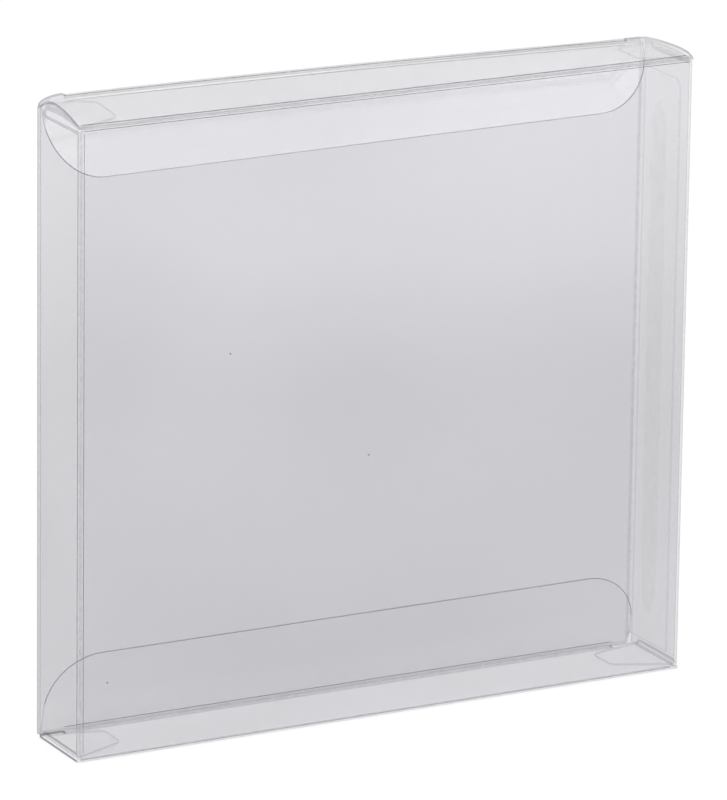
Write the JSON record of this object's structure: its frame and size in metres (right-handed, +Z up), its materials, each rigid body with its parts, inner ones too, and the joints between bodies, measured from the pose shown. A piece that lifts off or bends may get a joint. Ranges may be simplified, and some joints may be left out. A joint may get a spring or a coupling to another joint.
{
  "type": "clear game box protector",
  "caption": "Slim square display box of clear folded film with hinged tuck lids at the top and the bottom.",
  "frame": {"origin": "middle of the underside of the closed box", "axes": "+X to the right along the broad walls, +Y from the front wall, which carries the lids, to the back wall, +Z up"},
  "size_m": [0.133, 0.021, 0.126],
  "materials": {
    "clear_film": "clear PET film, 0.5 mm, glossy, faint grey tint"
  },
  "bodies": {
    "sleeve": {"sleeve": "clear_film"},
    "top_lid": {"top_lid": "clear_film"},
    "top_tuck": {"top_tuck_flap": "clear_film"},
    "bottom_lid": {"bottom_lid": "clear_film"},
    "bottom_tuck": {"bottom_tuck_flap": "clear_film"}
  },
  "joints": [
    {"name": "top_lid_hinge", "type": "hinge", "parent": "sleeve", "child": "top_lid", "pos_m": [0, -0.00909, 0.12559], "axis": [1, 0, 0], "range_deg": [0, 110]},
    {"name": "top_tuck_fold", "type": "hinge", "parent": "top_lid", "child": "top_tuck", "pos_m": [0, 0.00821, 0.12552], "axis": [-1, 0, 0], "range_deg": [0, 16.5]},
    {"name": "bottom_lid_hinge", "type": "hinge", "parent": "sleeve", "child": "bottom_lid", "pos_m": [0, -0.00909, 0.00041], "axis": [-1, 0, 0], "range_deg": [0, 110]},
    {"name": "bottom_tuck_fold", "type": "hinge", "parent": "bottom_lid", "child": "bottom_tuck", "pos_m": [0, 0.00818, 0.00045], "axis": [1, 0, 0], "range_deg": [0, 38.5]}
  ],
  "couplings": [
    {"joint": "top_tuck_fold", "follows": "top_lid_hinge", "ratio": 0.15},
    {"joint": "bottom_tuck_fold", "follows": "bottom_lid_hinge", "ratio": 0.35}
  ]
}
